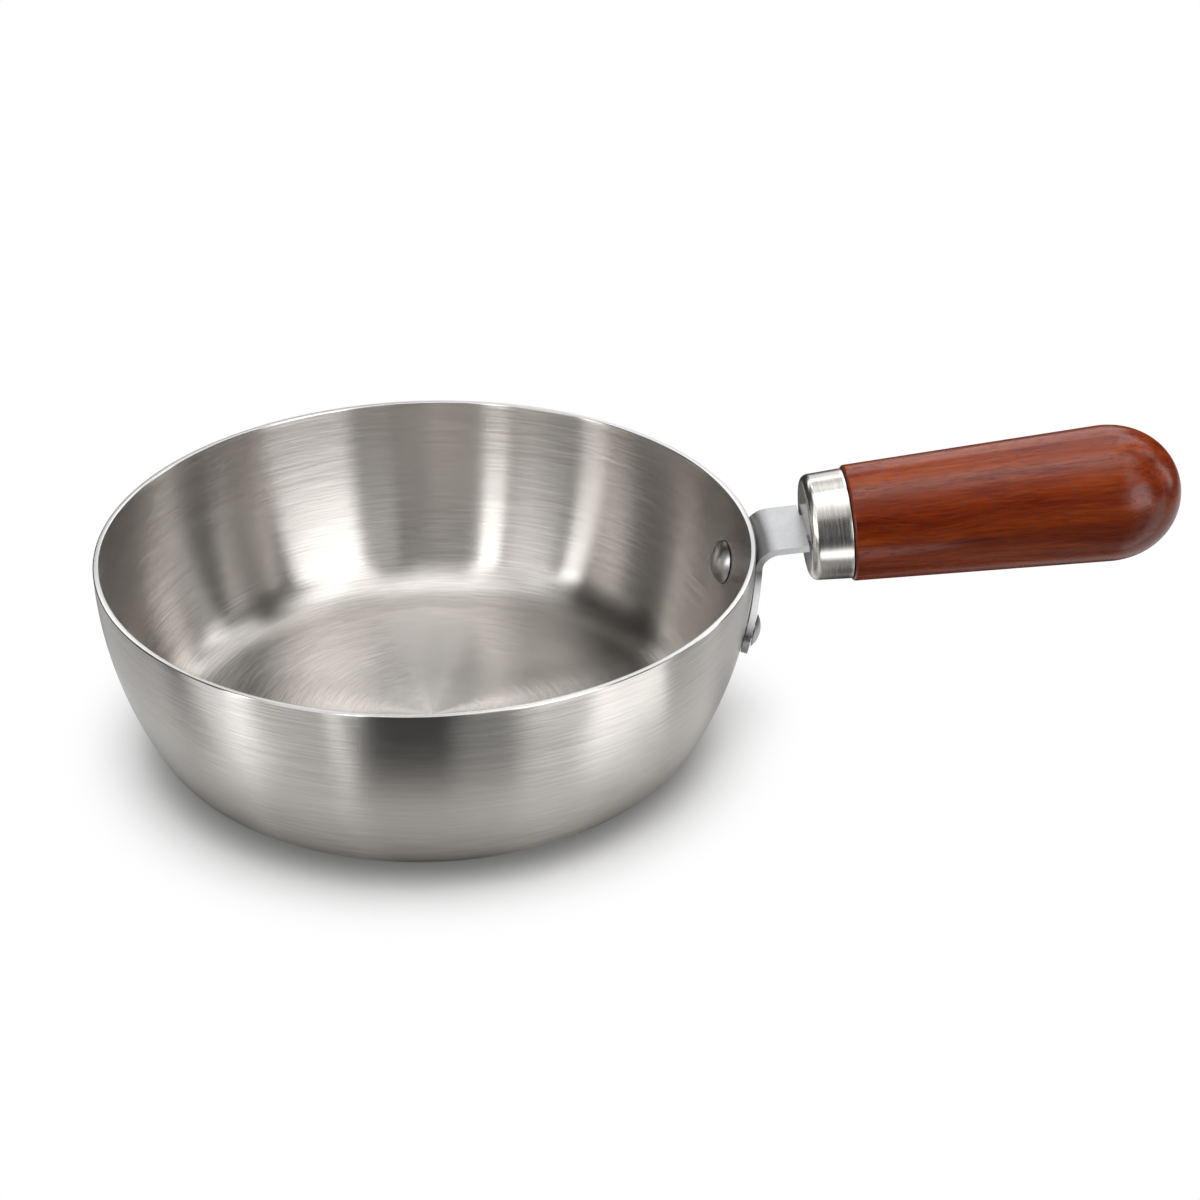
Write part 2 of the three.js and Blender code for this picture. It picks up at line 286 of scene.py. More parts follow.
@dataclass(frozen=True)
class BrushedSteel(Finish):
    """Sheet steel brushed in circles about the pan's axis, with a polished rim.

    The marks lie on a vector whose first two parts are the direction from the axis and whose
    third is the run along the bowl's section, so they close round the bowl without a seam.
    """

    rim_start: float
    rim_end: float
    slot: str = "satin_steel"
    colour: Colour = (0.57, 0.549, 0.522)
    shadow: Colour = (0.45, 0.429, 0.403)
    tone_edge: Span = (0.34, 0.66)
    roughness: float = 0.25
    swing: float = 0.10
    anisotropy: float = 1.0
    brush_turn: float = 0.25
    rim_colour: Colour = (0.52, 0.515, 0.51)
    rim_roughness: float = 0.2
    rim_blend: float = 0.3 * MM
    lines: Marks = Marks(turns=5.0, density=2900.0, share=0.5)
    bands: Marks = Marks(turns=2.0, density=900.0, share=0.15)
    hairs: Marks = Marks(turns=10.0, density=4930.0, share=0.35)
    mark_detail: float = 2.0
    mark_gain: float = 0.6
    relief: Relief = Relief(strength=0.3, depth=0.015 * MM)

    def shade(self, graph: Graph) -> None:
        """Builds the brushed steel's nodes.

        Args:
            graph: the material's empty graph.
        """
        around = graph.heading(graph.place())
        run = graph.node("ShaderNodeAttribute", {"attribute_name": RUN}, output="Fac")
        lines, bands, hairs = (
            self.layer(graph, around, run, marks)
            for marks in (self.lines, self.bands, self.hairs)
        )
        stroke = lines + bands + hairs
        blend = self.rim_blend
        polish = run.fade(self.rim_start - blend, self.rim_start + blend)
        polish = polish * run.fade(self.rim_end + blend, self.rim_end - blend)
        rough = self.roughness + (stroke - NOISE_MEAN) * self.swing
        brushed = graph.mix(stroke.fade(*self.tone_edge), self.shadow, self.colour)
        graph.surface(
            {
                "Base Color": graph.mix(polish, brushed, self.rim_colour),
                "Metallic": 1.0,
                "Roughness": rough - (rough - self.rim_roughness) * polish,
                "Anisotropic": self.anisotropy,
                "Anisotropic Rotation": self.brush_turn,
                "Normal": graph.bump(stroke, self.relief),
            }
        )

    def layer(self, graph: Graph, around: Wire, run: Wire, marks: Marks) -> Wire:
        """Noise drawn out along the circles.

        Args:
            graph: the material's graph.
            around: unit vector from the axis.
            run: length along the section.
            marks: the layer's sizes.

        Returns:
            The layer's part of the stroke, about 0 to its share.
        """
        across = graph.node("ShaderNodeCombineXYZ", None, {"Z": run * marks.density})
        drawn = graph.node(
            "ShaderNodeVectorMath", {"operation": "SCALE"}, {0: around, "Scale": marks.turns}
        )
        place = graph.vector("ADD", drawn, across)
        return graph.noise(place, self.mark_detail, self.mark_gain) * marks.share


@dataclass(frozen=True)
class SatinSteel(Finish):
    """Pressed steel whose tone and gloss follow a fine even grain and slow clouds.

    The grain lies in axes tilted in the handle's upright plane, and it gives the fine height.
    """

    slot: str = "strap_steel"
    tilt: float = 0.0
    colour: Colour = (0.48, 0.483, 0.490)
    shadow: Colour = (0.37, 0.373, 0.380)
    tone_edge: Span = (0.3, 0.7)
    roughness: float = 0.34
    swing: float = 0.2
    fine: Grain = Grain((1500.0, 1500.0, 1500.0), 3.0, 0.6)
    cloud: Grain = Grain((120.0, 120.0, 120.0))
    fine_share: float = 0.55
    relief: Relief = Relief(strength=0.2, depth=0.03 * MM)

    def shade(self, graph: Graph) -> None:
        """Builds the satin steel's nodes.

        Args:
            graph: the material's empty graph.
        """
        place = graph.turned(self.tilt)
        fine = graph.grain(place, self.fine)
        cloud = graph.grain(place, self.cloud)
        tone = fine * self.fine_share + cloud * (1.0 - self.fine_share)
        graph.surface(
            {
                "Base Color": graph.mix(tone.fade(*self.tone_edge), self.shadow, self.colour),
                "Metallic": 1.0,
                "Roughness": self.roughness + (tone - NOISE_MEAN) * self.swing,
                "Normal": graph.bump(fine, self.relief),
            }
        )


@dataclass(frozen=True)
class RivetSteel(SatinSteel):
    """Smooth, lightly polished steel of the rivets' heads."""

    slot: str = "rivet_steel"
    colour: Colour = (0.54, 0.52, 0.50)
    roughness: float = 0.29
    fine: Grain = Grain((3000.0, 3000.0, 3000.0), 3.0, 0.6)


@dataclass(frozen=True)
class TurnedSteel(SatinSteel):
    """Bright steel with faint turning lines round the handle's axis."""

    slot: str = "polished_steel"
    colour: Colour = (0.72, 0.695, 0.66)
    shadow: Colour = (0.60, 0.575, 0.54)
    roughness: float = 0.25
    swing: float = 0.14
    fine: Grain = Grain((3000.0, 60.0, 60.0), 2.0, 0.6)
    cloud: Grain = Grain((150.0, 150.0, 150.0))
    fine_share: float = 0.7
    relief: Relief = Relief(strength=0.3, depth=0.02 * MM)


@dataclass(frozen=True)
class FixingSteel(TurnedSteel):
    """Plain bright steel of the fixing inside the grip."""

    slot: str = "fixing_steel"
    colour: Colour = (0.58, 0.57, 0.55)
    roughness: float = 0.34


@dataclass(frozen=True)
class OiledWood(Finish):
    """Close-grained red-brown hardwood, oiled to a soft gloss.

    The grain is noise drawn out along the grip: broad streaks that wander a little, fibres,
    fine threads, and short dark pores.
    """

    tilt: float
    slot: str = "red_wood"
    dark: Colour = (0.094, 0.0085, 0.0018)
    middle: Colour = (0.200, 0.0260, 0.0032)
    light: Colour = (0.300, 0.0545, 0.0070)
    pore: Colour = (0.026, 0.0030, 0.0012)
    stops: Triple = (0.34, 0.50, 0.66)
    roughness: float = 0.22
    swing: float = 0.14
    specular: float = 0.26
    wander: Grain = Grain((22.0, 30.0, 30.0), 1.0)
    wander_reach: float = 9.0 * MM
    streak: Grain = Grain((10.0, 150.0, 150.0))
    streak_share: float = 0.4
    fibre: Grain = Grain((45.0, 700.0, 700.0), 2.0, 0.6)
    fibre_share: float = 0.32
    fibre_height: float = 0.4
    thread: Grain = Grain((110.0, 2100.0, 2100.0), 2.0, 0.6)
    thread_share: float = 0.28
    pores: Grain = Grain((230.0, 3000.0, 3000.0), 1.0)
    pore_edge: Span = (0.60, 0.70)
    pore_cover: float = 0.7
    pore_roughness: float = 0.2
    relief: Relief = Relief(strength=0.35, depth=0.05 * MM)

    def shade(self, graph: Graph) -> None:
        """Builds the oiled wood's nodes.

        Args:
            graph: the material's empty graph.
        """
        along = graph.turned(self.tilt)
        shift = graph.grain(along, self.wander) * self.wander_reach
        bent = graph.vector("ADD", along, graph.node("ShaderNodeCombineXYZ", None, {"Z": shift}))
        streak = graph.grain(bent, self.streak)
        fibre = graph.grain(bent, self.fibre)
        thread = graph.grain(bent, self.thread)
        pitted = graph.grain(bent, self.pores).fade(*self.pore_edge)
        tone = streak * self.streak_share + fibre * self.fibre_share + thread * self.thread_share
        colours = (self.dark, self.middle, self.light)
        body = graph.node(
            "ShaderNodeValToRGB", {"stops": list(zip(self.stops, colours))}, {"Fac": tone}
        )
        rough = self.roughness + (fibre - NOISE_MEAN) * self.swing + pitted * self.pore_roughness
        graph.surface(
            {
                "Base Color": graph.mix(pitted * self.pore_cover, body, self.pore),
                "Roughness": rough,
                "Specular IOR Level": self.specular,
                "Normal": graph.bump(fibre * self.fibre_height - pitted, self.relief),
            }
        )


@dataclass(frozen=True)
class PaleFloor(Finish):
    """Pale dull table top, with painted shade that darkens it where the pan stands.

    The camera sees it go to white away from the pan, so that the shadow stays. Mirrors look
    through it past the shadow, down to the lights below, and see a painted light by the handle: a
    spot that glows, though no lamp is there.
    Edges are distances from the pan's axis, and the glow's are from its own place.
    """

    slot: str = "pale_floor"
    colour: Colour = (0.76, 0.76, 0.76)
    # Painted shade: a dark colour near the pan's foot, standing in for its contact shadow.
    painted_contact_shade: Colour = (0.28, 0.28, 0.28)
    painted_contact_edge: Span = (0.076, 0.094)
    shadow_lift: float = 0.13
    shadow_edge: Span = (0.079, 0.119)
    mirror_edge: Span = (0.112, 0.138)
    # Painted light: a glowing spot on the table by the handle, seen by mirrors alone.
    glow_place: Triple = (0.138, -0.11, 0.0)
    glow_edge: Span = (0.045, 0.030)
    painted_glow_strength: float = 2.2

    def shade(self, graph: Graph) -> None:
        """Builds the floor's nodes.

        Args:
            graph: the material's empty graph.
        """
        seen = graph.node("ShaderNodeLightPath", output="Is Camera Ray")
        mirrored = seen.output("Is Glossy Ray")
        away = graph.vector("LENGTH", graph.place(), output="Value")
        by_handle = graph.vector("DISTANCE", graph.place(), self.glow_place, output="Value")
        lift = self.shadow_lift + away.fade(*self.shadow_edge) * (1.0 - self.shadow_lift)
        # Painted shade: the floor's colour goes dark towards the pan's foot, for every ray.
        tone = graph.mix(away.fade(*self.painted_contact_edge), self.painted_contact_shade, self.colour)
        plain = graph.node("ShaderNodeBsdfDiffuse", None, {"Color": tone})
        white = graph.node("ShaderNodeEmission", None, {"Color": WHITE})
        through = graph.node("ShaderNodeBsdfTransparent")
        # Painted light: the spot by the handle glows white for mirrors, standing in for a lit
        # patch of table.
        painted_glow_spot = graph.node("ShaderNodeEmission", None, {"Color": WHITE, "Strength": self.painted_glow_strength})
        top = graph.blend(seen * lift, plain, white)
        top = graph.blend(mirrored * away.fade(*self.mirror_edge), top, through)
        top = graph.blend(mirrored * by_handle.fade(*self.glow_edge), top, painted_glow_spot)
        graph.node("ShaderNodeOutputMaterial", None, {"Surface": top})


@dataclass
class Surface:
    """Points and faces of a piece, as whole arrays, with a length along its section."""

    points: Array
    quads: Array
    triangles: Array = field(default_factory=lambda: np.empty((0, 3), int))
    run: Optional[Array] = None


def arc(centre: Sequence[float], radius: float, start: float, end: float, steps: int) -> Array:
    """Circular arc: centre + radius (cos a, sin a), a going in equal steps from start to end."""
    angle = np.linspace(start, end, steps + 1)
    return np.asarray(centre) + radius * np.column_stack((np.cos(angle), np.sin(angle)))


def line(start: Sequence[float], end: Sequence[float], steps: int) -> Array:
    """Straight line in equal steps, with both its ends."""
    return np.linspace(np.asarray(start, float), np.asarray(end, float), steps + 1)


def join(*runs: Array) -> Array:
    """Joins stretches of a profile and drops a point that repeats the one before it."""
    points = np.concatenate(runs)
    return points[np.diff(lengths(points), prepend=-1.0) > TINY]


def lengths(profile: Array) -> Array:
    """Length along a profile at each of its points."""
    step = np.linalg.norm(np.diff(profile, axis=0), axis=1)
    return np.concatenate(([0.0], np.cumsum(step)))


def ease(share: Array) -> Array:
    """Smooth step of a share held within 0 and 1: three times its square less twice its cube."""
    share = np.clip(share, 0.0, 1.0)
    return share**2 * (3 - 2 * share)


def circle(steps: int) -> Array:
    """Cosine and sine of each angle round a circle in equal steps."""
    angle = np.arange(steps) * (2 * math.pi / steps)
    return np.column_stack((np.cos(angle), np.sin(angle)))


def between(low: Array, high: Array) -> Array:
    """Quads that join rings of point numbers to the next rings, all round."""
    return np.stack((low, np.roll(low, -1, 1), np.roll(high, -1, 1), high), -1).reshape(-1, 4)


def lathe(profile: Array, segments: int) -> Surface:
    """Turns a profile about the Z axis.

    Ring i is (r_i cos a, r_i sin a, z_i), a in equal steps round the circle, and quads join
    each ring to the next. An end of the profile on the axis is one point with a fan round it,
    and a profile that ends where it starts closes on itself.

    Args:
        profile: radius and height of each point, going up where the surface faces outwards.
        segments: steps round the axis.

    Returns:
        The closed surface.
    """
    looped = bool(np.allclose(profile[0], profile[-1]))
    run = lengths(profile)
    off_axis = profile[:, 0] > TINY
    if looped:
        off_axis[-1] = False
    body = profile[off_axis]
    flat = body[:, None, :1] * circle(segments)[None]
    height = np.broadcast_to(body[:, None, 1:], (len(body), segments, 1))
    points = np.concatenate((flat, height), axis=2).reshape(-1, 3)
    ring_run = np.repeat(run[off_axis], segments)
    index = np.arange(len(points)).reshape(len(body), segments)
    low, high = (index, np.roll(index, -1, axis=0)) if looped else (index[:-1], index[1:])
    quads = between(low, high)
    if looped:
        return Surface(points, quads, run=ring_run)
    poles = np.array([[0.0, 0.0, profile[0, 1]], [0.0, 0.0, profile[-1, 1]]])
    first = np.full(segments, len(points))
    start = np.column_stack((first, np.roll(index[0], -1), index[0]))
    end = np.column_stack((index[-1], np.roll(index[-1], -1), first + 1))
    return Surface(
        np.concatenate((points, poles)),
        quads,
        np.concatenate((start, end)),
        np.concatenate((ring_run, run[[0, -1]])),
    )


def thicken(rows: Array, kept: Array, thickness: float) -> Surface:
    """Closed sheet about a middle surface.

    Each point moves half the thickness to both sides along the cross product of the
    differences across and along the grid, and every edge that only one kept quad has gets a
    side face between the two skins.

    Args:
        rows: grid of points, rows along the sheet and columns across it.
        kept: which quads of the grid are there.
        thickness: the sheet's thickness.

    Returns:
        The closed surface.
    """
    count, columns = rows.shape[:2]
    normal = np.cross(np.gradient(rows, axis=1), np.gradient(rows, axis=0))
    normal /= np.linalg.norm(normal, axis=2, keepdims=True)
    offset = normal * (thickness / 2)
    points = np.concatenate(((rows + offset).reshape(-1, 3), (rows - offset).reshape(-1, 3)))
    index = np.arange(count * columns).reshape(count, columns)
    top = np.stack((index[:-1, :-1], index[:-1, 1:], index[1:, 1:], index[1:, :-1]), -1)[kept]
    half = count * columns
    edges = np.stack((top, np.roll(top, -1, axis=1)), -1).reshape(-1, 2)
    _, place, times = np.unique(
        np.sort(edges, axis=1), axis=0, return_inverse=True, return_counts=True
    )
    rim = edges[times[place.ravel()] == 1]
    sides = np.column_stack((rim[:, 1], rim[:, 0], rim[:, 0] + half, rim[:, 1] + half))
    quads = np.concatenate((top, top[:, ::-1] + half, sides))
    used, quads = np.unique(quads, return_inverse=True)
    return Surface(points[used], quads.reshape(-1, 4))


class Sharpness(Enum):
    """Angle past which an edge of a piece shows as a crease."""

    TURNED = math.radians(32)
    PRESSED = math.radians(40)


def add_piece(
    name: str, surface: Surface, finish: Finish, nodes: Sequence[str], crease: Sharpness
) -> Piece:
    """Puts a surface into the scene in place of solids of the frame.

    Args:
        name: the piece's name.
        surface: its points and faces.
        finish: its finish.
        nodes: the solids that it stands for.
        crease: which edges stay sharp.

    Returns:
        The piece, at the origin and riding on the part's body.
    """
    mesh = bpy.data.meshes.new(name)
    faces = surface.quads.tolist() + surface.triangles.tolist()
    mesh.from_pydata(surface.points.tolist(), [], faces)
    if surface.run is not None:
        along = mesh.attributes.new(RUN, "FLOAT", "POINT")
        along.data.foreach_set("value", surface.run.astype(np.float32))
    mesh.shade_smooth()
    mesh.set_sharp_from_angle(angle=crease.value)
    mesh.materials.append(finish.material())
    piece = bpy.data.objects.new(name, mesh)
    bpy.context.scene.collection.objects.link(piece)
    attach(piece, BODY)
    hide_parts(*nodes)
    return piece


@dataclass
class Bowl:
    """The pan: a flat base, a round corner, a wall that ends upright, and a plain rim."""

    rim_radius: float
    height: float
    wall: float = 1.8 * MM
    base: float = 3.0 * MM
    wall_arc: float = 120.0 * MM
    base_corner: float = 18.0 * MM
    floor_corner: float = 18.0 * MM
    rim_round: float = 0.4 * MM
    segments: int = 256
    floor_steps: int = 12
    corner_steps: int = 16
    wall_steps: int = 28
    rim_steps: int = 5

    @classmethod
    def from_frame(cls) -> "Bowl":
        """Bowl with the rim and the height of the frame's solid."""
        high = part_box("pan_body")[1]
        return cls(rim_radius=high.x, height=high.z)

    def face(self, wall_arc: float, corner: float, level: float) -> Array:
        """One face of the bowl, from its flat to just under the rim.

        The wall is an arc about a point level with the rim; the corner is an arc tangent to
        the flat and, from inside, to the wall.

        Args:
            wall_arc: the wall's radius in the section.
            corner: the corner's radius.
            level: height of the flat.

        Returns:
            Radius and height of each point.
        """
        middle = self.rim_radius - self.wall_arc
        reach = wall_arc - corner
        rise = self.height - level - corner
        centre = middle + math.sqrt(reach * reach - rise * rise)
        meet = math.asin(rise / reach)
        brim = self.rim_round / wall_arc
        return join(
            line((0.0, level), (centre, level), self.floor_steps),
            arc((centre, level + corner), corner, -math.pi / 2, -meet, self.corner_steps),
            arc((middle, self.height), wall_arc, -meet, -brim, self.wall_steps),
        )

    def profile(self) -> Array:
        """Section from the middle of the base, out, up, over the rim and in to the middle.

        Returns:
            Radius and height of each point.
        """
        edge, steps = self.rim_round, self.rim_steps
        top = self.height - edge
        outside = self.face(self.wall_arc, self.base_corner, 0.0)
        inside = self.face(self.wall_arc - self.wall, self.floor_corner, self.base)
        return join(
            outside[:-1],
            arc((self.rim_radius - edge, top), edge, 0.0, math.pi / 2, steps),
            arc((self.rim_radius - self.wall + edge, top), edge, math.pi / 2, math.pi, steps),
            inside[::-1][1:],
        )

    def build(self) -> list[Piece]:
        """Builds and dresses the bowl.

        Returns:
            The bowl alone.
        """
        profile = self.profile()
        run = lengths(profile)
        rim = run[profile[:, 1] >= self.height - self.rim_round]
        finish = BrushedSteel(rim_start=float(rim[0]), rim_end=float(rim[-1]))
        surface = lathe(profile, self.segments)
        return [add_piece("bowl", surface, finish, ["pan_body"], Sharpness.TURNED)]


@dataclass
class HandleLine:
    """Straight axis of the arm, the ferrule and the grip, in the handle's upright plane."""

    bowl: Bowl
    drop: float = 1.9 * MM
    tilt: float = math.radians(4.8)
    arm_reach: float = 16.0 * MM

    @property
    def direction(self) -> Array:
        """Unit vector along the axis, as outwards and up."""
        return np.array([math.cos(self.tilt), math.sin(self.tilt)])

    @property
    def start(self) -> Array:
        """Where the axis crosses the upright over the rim."""
        return np.array([self.bowl.rim_radius, self.bowl.height - self.drop])

    @property
    def cap_face(self) -> Array:
        """Middle of the ferrule's cap face."""
        return self.start + self.arm_reach * self.direction

    def to_part(self, points: Array) -> Array:
        """Carries points from the handle's frame into the part's.

        The handle's Z runs along the grip from the cap face, its Y is the part's, and its X
        points down across the grip.

        Args:
            points: rows of X, Y and Z in the handle's frame.

        Returns:
            The same rows in the part's frame.
        """
        along, up = self.direction
        axes = np.array([[up, 0.0, -along], [0.0, 1.0, 0.0], [along, 0.0, up]])
        return points @ axes + np.array([self.cap_face[0], 0.0, self.cap_face[1]])


@dataclass
class Bracket:
    """One pressed strap: a flange on the wall, a bend, the arm, and a tang in the ferrule."""

    line: HandleLine
    thickness: float = 2.0 * MM
    arm_width: float = 27.0 * MM
    tang_width: float = 13.0 * MM
    bend: float = 5.5 * MM
    lobe: float = 7.3 * MM
    flare: float = 16.0 * MM
    rivet_drop: float = 23.0 * MM
    rivet_spacing: float = 42.0 * MM
    wall_gap: float = 0.3 * MM
    shoulder_gap: float = 0.6 * MM
    tang_reach: float = 9.0 * MM
    edge: float = 0.35 * MM
    edge_segments: int = 3
    lobe_steps: int = 14
    wall_steps: int = 24
    bend_steps: int = 18
    arm_steps: int = 8
    tang_steps: int = 4
    side_columns: int = 6
    tang_columns: int = 12

    @property
    def rivet_lean(self) -> float:
        """Angle by which the wall leans out at the rivets."""
        return math.asin(self.rivet_drop / self.line.bowl.wall_arc)

    def stations(self) -> tuple[Array, Array, int]:
        """Middle line of the strap and its wrap round the bowl.

        The line follows the wall's arc from the flange's foot, turns out on a circle that
        touches the wall's arc and the underside of the axis, and ends along the axis. The
        wrap falls from 1 to 0 as a smooth step over the bend.

        Returns:
            Points of the line, wrap at each, and the number of the row at the shoulders.
        """
        bowl = self.line.bowl
        along = self.line.direction
        face = bowl.wall_arc + self.wall_gap + self.thickness / 2
        centre = np.array([bowl.rim_radius - bowl.wall_arc, bowl.height])
        rail = self.line.start + self.bend * np.array([along[1], -along[0]]) - centre
        reach = face + self.bend
        ahead = rail @ along
        slide = math.sqrt(ahead**2 + reach**2 - rail @ rail) - ahead
        turn = rail + slide * along
        turn_angle = math.atan2(-turn[1], turn[0])
        foot = self.rivet_lean + self.lobe / face
        crowd = np.cos(np.linspace(0.0, math.pi / 2, self.lobe_steps + 1))
        low = self.rivet_lean + (foot - self.rivet_lean) * crowd
        high = np.linspace(self.rivet_lean, turn_angle, self.wall_steps + 1)
        angle = np.concatenate((low[:-1], high[:-1]))
        wall = centre + face * np.column_stack((np.cos(angle), -np.sin(angle)))
        bend_end = math.pi / 2 + self.line.tilt
        bent = arc(centre + turn, self.bend, math.pi - turn_angle, bend_end, self.bend_steps)
        shoulder = self.line.cap_face - self.shoulder_gap * along
        arm = line(bent[-1], shoulder, self.arm_steps)[1:]
        tang_end = self.line.cap_face + self.tang_reach * along
        tang = line(shoulder, tang_end, self.tang_steps)[1:]
        points = np.concatenate((wall, bent, arm, tang))
        run = lengths(points)
        first, last = run[len(wall)], run[len(wall) + self.bend_steps]
        wrap = 1 - ease((run - first) / (last - first))
        return points, wrap, len(wall) + len(bent) + len(arm) - 1

    def half_width(self, run: Array) -> Array:
        """Half of the strap's width.

        It grows round the lobes as a circle does, then goes to the arm's as a smooth step.

        Args:
            run: length along the strap from its foot.

        Returns:
            The half width at each.
        """
        below = np.maximum(0.0, self.lobe - run)
        lobe = self.rivet_spacing / 2 + np.sqrt(self.lobe**2 - below**2)
        return lobe + (self.arm_width / 2 - lobe) * ease((run - self.lobe) / self.flare)

    def surface(self) -> Surface:
        """Closed strap.

        A row of the middle surface is (x - wrap (x - sqrt(x^2 - y^2)), y, z), with y across
        the strap, and past the shoulders only the tang's columns are kept.

        Returns:
            The strap's surface, in place.
        """
        points, wrap, shoulder = self.stations()
        tang = self.tang_width / self.arm_width
        side = np.linspace(-1, -tang, self.side_columns + 1)
        core = np.linspace(-tang, tang, self.tang_columns + 1)
        share = np.concatenate((side, core[1:], -side[-2::-1]))
        across = self.half_width(lengths(points))[:, None] * share[None]
        out = points[:, :1]
        fall = out - np.sqrt(out**2 - across**2)
        height = np.broadcast_to(points[:, 1:], across.shape)
        rows = np.stack((out - wrap[:, None] * fall, across, height), -1)
        middle = np.abs(share[:-1] + share[1:]) / 2 < tang
        kept = (np.arange(len(points) - 1) < shoulder)[:, None] | middle[None]
        return thicken(rows, kept, self.thickness)

    def build(self) -> list[Piece]:
        """Builds and dresses the strap, with its cut edges broken.

        Returns:
            The strap alone.
        """
        piece = add_piece(
            "strap_bracket", self.surface(), SatinSteel(), ["handle_bracket"], Sharpness.PRESSED
        )
        rounding = piece.modifiers.new("broken_edges", "BEVEL")
        rounding.width = self.edge
        rounding.segments = self.edge_segments
        rounding.limit_method = "ANGLE"
        rounding.angle_limit = Sharpness.PRESSED.value
        return [piece]


@dataclass
class Rivets:
    """Two rivets side by side, with a high dome in the bowl and a flatter head on the flange."""

    bracket: Bracket
    shank: float = 2.5 * MM
    inner_radius: float = 6.9 * MM
    inner_height: float = 2.9 * MM
    outer_radius: float = 5.1 * MM
    outer_height: float = 1.8 * MM
    seat: float = 0.3 * MM
    segments: int = 64
    dome_steps: int = 14

    def wall_radius(self) -> float:
        """Radius of the wall's outer face at the rivets."""
        bowl = self.bracket.line.bowl
        return bowl.rim_radius + bowl.wall_arc * (math.cos(self.bracket.rivet_lean) - 1)

    def dome(self, radius: float, height: float) -> Array:
        """Cap of a sphere, from its crown on the axis at 0 down to its edge.

        Args:
            radius: radius of the edge.
            height: depth of the edge under the crown.

        Returns:
            Radius and depth of each point.
        """
        ball = (radius**2 + height**2) / (2 * height)
        half = math.asin(radius / ball)
        return arc((0.0, -ball), ball, math.pi / 2, math.pi / 2 - half, self.dome_steps)

    def profile(self) -> Array:
        """Section from the inner crown, over the inner head and the shank, to the outer crown.

        Returns:
            Radius and place of each point, along the rivet from the wall's outer face.
        """
        bowl = self.bracket.line.bowl
        hollow = self.inner_radius**2 / self.wall_radius()
        inner_foot = bowl.wall + self.seat + hollow / 2
        outer_foot = self.bracket.wall_gap + self.bracket.thickness + self.seat
        inner = self.dome(self.inner_radius, self.inner_height)
        inner = inner * (1.0, -1.0) - (0.0, inner_foot + self.inner_height)
        outer = self.dome(self.outer_radius, self.outer_height)[::-1]
        outer = outer + (0.0, outer_foot + self.outer_height)
        return join(
            inner, np.array([[self.shank, -inner_foot], [self.shank, outer_foot]]), outer
        )

    def surface(self, side: int) -> Surface:
        """One rivet, square to the wall.

        Args:
            side: 1 for the +Y side, -1 for the -Y side.

        Returns:
            The closed surface, in place.
        """
        radius = self.wall_radius()
        turn = math.asin(side * self.bracket.rivet_spacing / 2 / radius)
        lean = self.bracket.rivet_lean
        around = np.array([math.cos(turn), math.sin(turn), 0.0])
        out = around * math.cos(lean) - np.array([0.0, 0.0, math.sin(lean)])
        across = np.array([-around[1], around[0], 0.0])
        axes = np.stack((across, np.cross(out, across), out))
        foot = around * radius
        foot[2] = self.bracket.line.bowl.height - self.bracket.rivet_drop
        made = lathe(self.profile(), self.segments)
        return Surface(made.points @ axes + foot, made.quads, made.triangles)

    def build(self) -> list[Piece]:
        """Builds and dresses both rivets.

        Returns:
            The two rivets.
        """
        finish = RivetSteel()
        return [
            add_piece(name, self.surface(side), finish, [node], Sharpness.TURNED)
            for name, node, side in (
                ("rivet_plus_y", "rivet_left", 1),
                ("rivet_minus_y", "rivet_right", -1),
            )
        ]


